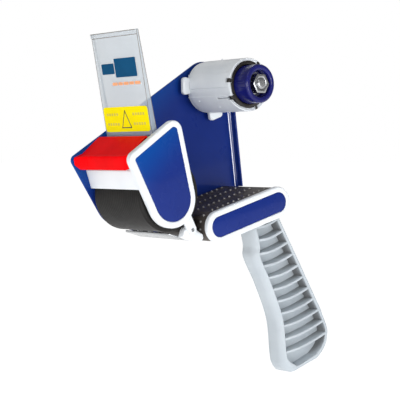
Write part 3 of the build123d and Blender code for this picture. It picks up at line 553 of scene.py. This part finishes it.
def hub_radius(turn, y):
    """The spool's outer radius: raised and low segments, seam grooves, and a smaller neck by the stops."""
    r = HUB_R - (0.4 if y > 20.7 else 0.0)
    if any(low < turn < high for low, high in LOW_SEGMENTS):
        r -= 0.35
    for seam, half, depth in SEAMS:
        if -18 < y < 20.4 and away(turn, seam) < half:
            r -= depth
    if y < HUB_NEAR + 0.9:
        r -= 0.35 * ((HUB_NEAR + 0.9 - y) / 0.9) ** 2
    return r


def finger_cut(turn, y):
    """How far the slanted corner by the spring finger draws the spool's near edge back."""
    if FINGER[0] < turn < FINGER[1] and y < -12:
        return 3.4 * (1 - (turn - FINGER[0]) / (FINGER[1] - FINGER[0])) * (-12 - y) / 10
    return 0.0


work = bmesh.new()
grid = []
for y in hub_rows:
    row = []
    for i in range(ARC):
        turn = 360 * i / ARC
        r = hub_radius(turn, y)
        x, z = r * cos(radians(turn)), r * sin(radians(turn))
        row.append(work.verts.new(Vector((x, y + finger_cut(turn, y), z)) * MM))
    grid.append(row)
for upper, lower, y in zip(grid, grid[1:], [(a + b) / 2 for a, b in zip(hub_rows, hub_rows[1:])]):
    for i in range(ARC):
        turn = 360 * (i + 0.5) / ARC
        in_notch = any(away(turn, notch) < 4.6 for notch in NOTCHES) and y < HUB_NEAR + 4.5
        in_slit = any(away(turn, slit) < 1.15 for slit in SLITS) and y < HUB_NEAR + 16
        if not (in_notch or in_slit):
            j = (i + 1) % ARC
            work.faces.new((upper[i], lower[i], lower[j], upper[j]))
bmesh.ops.delete(work, geom=[v for v in work.verts if not v.link_faces], context="VERTS")
bmesh.ops.recalc_face_normals(work, faces=work.faces)
outward = 0.0
for wall_face in work.faces:
    centre = wall_face.calc_center_median()
    outward += wall_face.normal.dot(Vector((centre.x, 0, centre.z)))
if outward < 0:
    bmesh.ops.reverse_faces(work, faces=work.faces)
spool = bpy.data.meshes.new("spool")
work.to_mesh(spool)
work.free()
spool_piece = show(spool, "spool_wall", "hub", "spool_plastic", stands_for=["hub_spool"])
wall = spool_piece.modifiers.new("wall", "SOLIDIFY")
wall.thickness = HUB_WALL * MM
wall.offset = -1
rounded(spool_piece, 0.25, 50)
crease(applied(spool_piece), 20)

STOPS = (180, 290, 42)
NUBS = ((100, 3.0), (236, -3.0), (216, 14.0), (262, 8.0), (20, 0.0), (320, -4.0))     # direction, y
spool_parts = []
for turn in STOPS:
    root, tip = along((0, 0), turn, 17.35), along((0, 0), turn, 21.5)
    spool_parts.append(slab([(*along(root, turn + 90, 4.5), 1.0), (*along(root, turn - 90, 4.5), 1.0),
                             (*along(tip, turn + 90, 3.7), 2.5), (*along(tip, turn - 90, 3.7), 2.5)],
                            edged(HUB_FAR, HUB_FAR - 3.0, 0.6, 0.9)))
for turn, y in NUBS:
    x, z = along((0, 0), turn, HUB_R - 0.25)
    nub = bmesh.new()
    bmesh.ops.create_icosphere(nub, subdivisions=3, radius=0.75 * MM)
    bmesh.ops.translate(nub, verts=nub.verts, vec=Vector((x, y, z)) * MM)
    nub_mesh = bpy.data.meshes.new("nub")
    nub.to_mesh(nub_mesh)
    nub.free()
    crease(nub_mesh)
    spool_parts.append(nub_mesh)
spool_parts.append(tube(0, 0, [(9.0, 18.5), (9.0, 14.0), (16.8, 14.0), (16.8, 11.0), (9.0, 11.0), (9.0, 6.0),
                               (6.05, 6.0), (6.05, 18.5)]))
show(joined(spool_parts), "spool_stops", "hub", "spool_plastic")

# ---------------------------------------------------------------- brake knob
FLUTES, FLUTE_DEPTH = 24, 0.16
KNOB_R, CROWN = 13.4, 1.7
NOSE_Y = -33.6
crown = [(KNOB_R - CROWN * (1 - c), NOSE_Y + CROWN * (1 - s)) for c, s in quarter(6)]
knob_profile = ([(12.4, -19.5), (13.0, -19.5), (13.3, -19.8), (KNOB_R, -20.4), (KNOB_R, -24.0),
                 (KNOB_R, -28.0)] + crown
                + [(10.6, NOSE_Y), (10.1, -33.5), (9.6, -33.1), (9.4, -32.5), (9.4, -26.2), (4.05, -26.2),
                   (4.05, -23.6), (12.4, -23.6)])
knob = tube(0, 0, knob_profile, 288)
for vertex in knob.vertices:
    x, y, z = vertex.co / MM
    r = hypot(x, z)
    if r > KNOB_R - 0.2 and -31.0 < y < -20.2:
        dip = FLUTE_DEPTH * max(0.0, cos(FLUTES * atan2(z, x))) ** 6
        vertex.co.x *= 1 - dip / r
        vertex.co.z *= 1 - dip / r
show(knob, "knob_shell", "knob", "blue_plastic", stands_for=["knob"])

# ---------------------------------------------------------------- prints and label on the flap
flap_pin = (-87.0, -38.8)
LEAN = 10.9             # how far the flap leans back
FACE = 0.6              # from the flap's pin to its front face
FILM = 0.12


def on_flap(height, y, lift):
    """A point on the flap's front face: height up the flap, place across, and lift off the face."""
    x, z = along(flap_pin, 90 + LEAN, height, FACE + lift)
    return x, y, z


def middle(outline):
    """The middle height of an outline."""
    return sum(h for h, y in outline) / len(outline)


def film(outline, lift=0.0, wall=FILM):
    """A thin film on the flap's front face with an outline of (height, y)."""
    centre = middle(outline)
    top = [on_flap(h + (0.04 if h < centre else -0.04), y, lift + wall) for h, y in outline]
    return skin([[on_flap(h, y, lift) for h, y in outline],
                 [on_flap(h, y, lift + wall * 0.7) for h, y in outline], top])


def rounded_box(low, high, y_from, y_to, corner, steps=5):
    """A rectangle (height, y) with rounded corners."""
    points = []
    for h, y, start in ((high - corner, y_from - corner, 0), (low + corner, y_from - corner, 90),
                        (low + corner, y_to + corner, 180), (high - corner, y_to + corner, 270)):
        for k in range(steps + 1):
            turn = radians(start + 90 * k / steps)
            points.append((h + corner * cos(turn), y + corner * sin(turn)))
    return points


def stroke(a, b, width):
    """A straight stroke between two points (height, y)."""
    length = hypot(b[0] - a[0], b[1] - a[1])
    dh, dy = (b[0] - a[0]) / length * width / 2, (b[1] - a[1]) / length * width / 2
    return [(a[0] - dh + dy, a[1] - dy - dh), (b[0] + dh + dy, b[1] + dy - dh),
            (b[0] + dh - dy, b[1] + dy + dh), (a[0] - dh - dy, a[1] - dy + dh)]


def cut_edge(low, high, y):
    """A thin line of painted shade on the flap's side face, between two points (height, lift), at a given y.
    """
    out = 0.05 if y > 0 else -0.05
    a, b = (along(flap_pin, 90 + LEAN, *point) for point in (low, high))
    c, d = (along(flap_pin, 90 + LEAN, height, lift - 0.35) for height, lift in (high, low))
    return skin([[(x, y - out, z) for x, z in (a, b, c, d)], [(x, y + out, z) for x, z in (a, b, c, d)]])


# thin dark films along the flap's hem and side edges paint in the shade its clear edges show by refraction
FLAP_EDGE, FLAP_TOP, HEM, HEM_LIFT = 24.8, 71.6, 3.0, 0.8
edges = [film([(height, FLAP_EDGE), (height - 0.4, FLAP_EDGE), (height - 0.4, -FLAP_EDGE),
               (height, -FLAP_EDGE)], lift, 0.05)
         for height, lift in ((FLAP_TOP - HEM - 0.1, 0.0), (FLAP_TOP - 0.1, HEM_LIFT))]
for y in (FLAP_EDGE, -FLAP_EDGE):
    edges.append(cut_edge((3.0, FACE), (FLAP_TOP - 0.2, FACE), y))
    edges.append(cut_edge((6.5, -3.5), (FLAP_TOP - 0.2, -0.75), y))
show(joined(edges), "flap_edge_shade", "flap", "edge_shade_paint")

label = film(rounded_box(5.3, 22.0, 24.0, -24.0, 2.0))
show(label, "label_film", "flap", "yellow_label", stands_for=["flap_label"])
corners = [(8.0, 5.4), (8.0, -4.6), (19.4, 0.6)]
marks = [film(stroke(corners[k], corners[(k + 1) % 3], 0.7), FILM, 0.05) for k in range(3)]
show(joined(marks), "label_mark", "flap", "dark_ink")
dashes = []
for height in (17.0, 10.5):
    for side_start in (21.0, -7.5):
        for k in range(5):
            y = side_start - 2.7 * k
            dashes.append(film(rounded_box(height - 0.9, height + 0.9, y, y - 2.0, 0.4, 2), FILM, 0.04))
show(joined(dashes), "label_dashes", "flap", "faint_ink")
block = joined([film(rounded_box(41.5, 54.0, 4.0, -19.0, 0.6)),
                film(rounded_box(44.0, 51.0, 18.5, 5.0, 0.6))])
show(block, "print_block", "flap", "print_ink", stands_for=["flap_print"])
words = [(9.0, 3.6), (2.6, -2.0), (-3.0, -8.4), (-9.4, -14.2), (-15.2, -21.0)]
stripe = joined([film(rounded_box(36.3, 38.3, y_from, y_to, 0.4, 2)) for y_from, y_to in words])
show(stripe, "print_stripe", "flap", "orange_ink")

# ---------------------------------------------------------------- handle
GRIP_HALF = 10.5
WEB_HALF = 1.5
grip_front = [(11.0, -91.0), (16.2, -104.0), (19.0, -114.4), (19.4, -124.3), (30.2, -143.4), (42.3, -170.3),
              (45.9, -196.0), (47.9, -203.9), (52.2, -207.8), (58.0, -208.8)]
cell_front = [(15.0, -90.0), (20.2, -104.0), (22.9, -114.4), (23.4, -123.0), (33.8, -141.6), (46.0, -169.0),
              (49.6, -194.6), (52.0, -200.2), (56.4, -203.2), (61.5, -204.4)]
grip_heel = [(80.8, -201.5), (91.6, -186.9), (84.9, -165.5)]
cell_heel = [(78.6, -198.4), (88.3, -186.3), (82.2, -167.2)]
grip_top, cell_top = (34.2, -84.4), (31.6, -85.6)


def threaded(points, count, before, after):
    """A smooth curve through points (x, z); before and after are points that set its end directions."""
    line = [before, *points, after]
    found = []
    spans = len(points) - 1
    for i in range(count):
        place = i / count * spans
        k = int(place)
        t = place - k
        a, b, c, d = line[k:k + 4]
        found.append(tuple(0.5 * (2 * b[n] + (c[n] - a[n]) * t
                                  + (2 * a[n] - 5 * b[n] + 4 * c[n] - d[n]) * t * t
                                  + (3 * b[n] - a[n] - 3 * c[n] + d[n]) * t ** 3) for n in (0, 1)))
    return found


def straight(a, b, count):
    """Points along a straight line, without its last one."""
    return [(a[0] + (b[0] - a[0]) * i / count, a[1] + (b[1] - a[1]) * i / count) for i in range(count)]


def grip_line(front, heel, top):
    """The grip's closed side outline: front, foot, heel, back and top."""
    before = (front[0][0] - 5, front[0][1] + 12)
    return (threaded(front, 120, before, heel[0]) + straight(front[-1], heel[0], 12)
            + threaded(heel, 40, front[-1], top) + straight(heel[-1], top, 60) + straight(top, front[0], 12))


outer = grip_line(grip_front, grip_heel, grip_top)
inner = grip_line(cell_front, cell_heel, cell_top)
# the rounding at each point of the side outline: front, foot, heel with the back's start, back and top
grip_rounding = ([8.0] * 96 + [8.0 - 0.2 * k for k in range(24)] + [3.4 - 0.12 * k for k in range(10)]
                 + [2.0] * 42 + [1.2] * 72)
ROUND_STEPS = 8
CELL_CORNER = ((0.94, 0.10), (0.99, 0.35), (1.0, 0.7))      # share of the way to the cells, and drop


def grip_side(side_sign):
    """The loops of the grip's wall on one side: its rounded shoulder, the rim round the cells, and down."""
    loops = []
    for step in range(ROUND_STEPS + 1):
        loop = []
        for (ox, oz), (ix, iz), radius in zip(outer, inner, grip_rounding):
            reach = hypot(ix - ox, iz - oz)
            lean = 1 - min(radius, reach * 0.85) / radius
            full_turn = degrees(atan2((1 - lean * lean) ** 0.5, lean)) / 90
            turn = pi / 2 * full_turn * step / ROUND_STEPS
            share = radius * (1 - cos(turn)) / reach
            loop.append((ox + (ix - ox) * share, side_sign * (GRIP_HALF - radius * (1 - sin(turn))),
                         oz + (iz - oz) * share))
        loops.append(loop)
    shoulder = loops[-1]
    for share, drop in CELL_CORNER:
        loops.append([(ox + (ix - ox) * share, side_sign * (abs(last[1]) - drop), oz + (iz - oz) * share)
                      for (ox, oz), (ix, iz), last in zip(outer, inner, shoulder)])
    loops.append([(ix, side_sign * (WEB_HALF - 0.2), iz) for ix, iz in inner])
    return loops


grip_wall = skin(list(reversed(grip_side(-1))) + grip_side(1), closed_ends=False)
grip_web = skin([[(x, y, z) for x, z in inner] for y in (WEB_HALF, -WEB_HALF)])

RIBS, RIB_PITCH = 11, 9.8
RIB_STEPS = 18
rib_first = along((20.0, -82.2), BASE_ANGLE - 90, 18.3)
rib_pieces = []


def inside(x, z):
    """Whether a point lies within the cells' outline."""
    crossings = False
    for (ax, az), (bx, bz) in zip(inner, inner[1:] + inner[:1]):
        if (az > z) != (bz > z) and x < ax + (z - az) / (bz - az) * (bx - ax):
            crossings = not crossings
    return crossings


up = (-sin(radians(BASE_ANGLE)), cos(radians(BASE_ANGLE)))
for rib in range(RIBS):
    rib_middle = along(rib_first, BASE_ANGLE - 90, RIB_PITCH * rib)
    reach = [k * 0.25 for k in range(-400, 401) if inside(*along(rib_middle, BASE_ANGLE, k * 0.25))]
    first, last = reach[0] - 0.6, reach[-1] + 0.6
    for side_sign in (-1, 1):
        loops = []
        for k in range(RIB_STEPS + 1):
            t = k / RIB_STEPS
            sag = 1.1 * (1 - (2 * t - 1) ** 2)
            x, z = along(rib_middle, BASE_ANGLE, first + (last - first) * t, -sag + 0.5)
            crown = min(10.2, 8.4 + 6.0 * t)
            section = ((-1.15, 1.4), (-1.0, crown - 0.6), (-0.85, crown - 0.15), (-0.6, crown),
                       (0.6, crown), (0.85, crown - 0.15), (1.0, crown - 0.6), (1.15, 1.4))
            loops.append([(x + up[0] * across, side_sign * y, z + up[1] * across) for across, y in section])
        rib_pieces.append(skin(loops))
grip = joined([grip_wall, grip_web, *rib_pieces])
show(grip, "grip", "frame", "grip_plastic", stands_for=["handle"])

# ---------------------------------------------------------------- the rest: CAD shapes with rounded edges
REBUILT = {"frame_plate", "handle", "nose_housing", "nose_panel", "base_cover", "base_panel", "blade_guard",
           "roller_tyre", "hub_spool", "knob", "flap_label", "flap_print"}
ROUNDINGS = {"flap": 0.2, "base_shell": 0.15, "tape_guide": 0.3, "guide_block": 0.6, "knob_nut": 0.5,
             "spindle_bolt": 0.3, "brake_ring": 0.15}
PLAIN = {"guard_spring", "flap_spring", "brake_spring"}     # round wire, with no edges to round
for node in frame["nodes"]:
    if node not in REBUILT and node not in PLAIN:
        refined(node, ROUNDINGS.get(node, 0.15))

# ---------------------------------------------------------------- floor, light and camera
LOW = cad_box[0][2]
floor_mesh = bpy.data.meshes.new("floor")
work = bmesh.new()
bmesh.ops.create_circle(work, cap_ends=True, segments=96, radius=40.0)
work.to_mesh(floor_mesh)
work.free()
floor = bpy.data.objects.new("floor", floor_mesh)
floor.location.z = LOW - 0.03
bpy.context.scene.collection.objects.link(floor)
floor_mesh.materials.append(surface(
    "floor_paint", (0.84, 0.84, 0.84), (0.86, 0.86, 0.86), (0.8, 0.9), grain=3, fine=200, relief=0.01,
    Emission_Color=(1, 1, 1, 1), Emission_Strength=0.74))

world = bpy.data.worlds.new("studio")
bpy.context.scene.world = world
world.use_nodes = True
glow = world.node_tree.nodes["Background"]
glow.inputs["Color"].default_value = (1, 1, 1, 1)
seen = world.node_tree.nodes.new("ShaderNodeLightPath")
level = world.node_tree.nodes.new("ShaderNodeMapRange")
level.inputs["To Min"].default_value = 0.26     # light on the object
level.inputs["To Max"].default_value = 1.0      # the backdrop itself
world.node_tree.links.new(seen.outputs["Is Camera Ray"], level.inputs["Value"])
world.node_tree.links.new(level.outputs["Result"], glow.inputs["Strength"])

TARGET = Vector((-26.4, 0, -80.4)) * MM


def aimed(name, data, turn, rise, reach):
    """Stand a lamp or camera at a direction and distance from the object's middle, aimed at it."""
    turn, rise = radians(turn), radians(rise)
    thing = bpy.data.objects.new(name, data)
    out = Vector((sin(turn) * cos(rise), -cos(turn) * cos(rise), sin(rise)))
    thing.location = TARGET + out * reach
    thing.rotation_euler = out.to_track_quat("Z", "Y").to_euler()
    bpy.context.scene.collection.objects.link(thing)
    return thing


def soft_lamp(name, turn, rise, energy, size):
    """A round soft box 1.2 m from the object's middle."""
    data = bpy.data.lights.new(name, "AREA")
    data.energy = energy
    data.shape = "DISK"
    data.size = size
    aimed(name, data, turn, rise, 1.2)


sky = bpy.data.lights.new("sky", "SUN")
sky.energy = 0.45
sky.angle = radians(40)
aimed("sky", sky, -60, 50, 2.0)
soft_lamp("key", 4, 0, 5.0, 0.4)
soft_lamp("side", -56, -1, 5.2, 0.4)
soft_lamp("edge", 150, 40, 0.8, 0.6)

view = bpy.data.cameras.new("camera")
view.lens = 109.7
view.sensor_width = 36.0
view.clip_start = 0.01
view.clip_end = 100.0
bpy.context.scene.camera = aimed("camera", view, -40.35, 2.0, 0.849)
bpy.context.scene.view_settings.view_transform = "Standard"
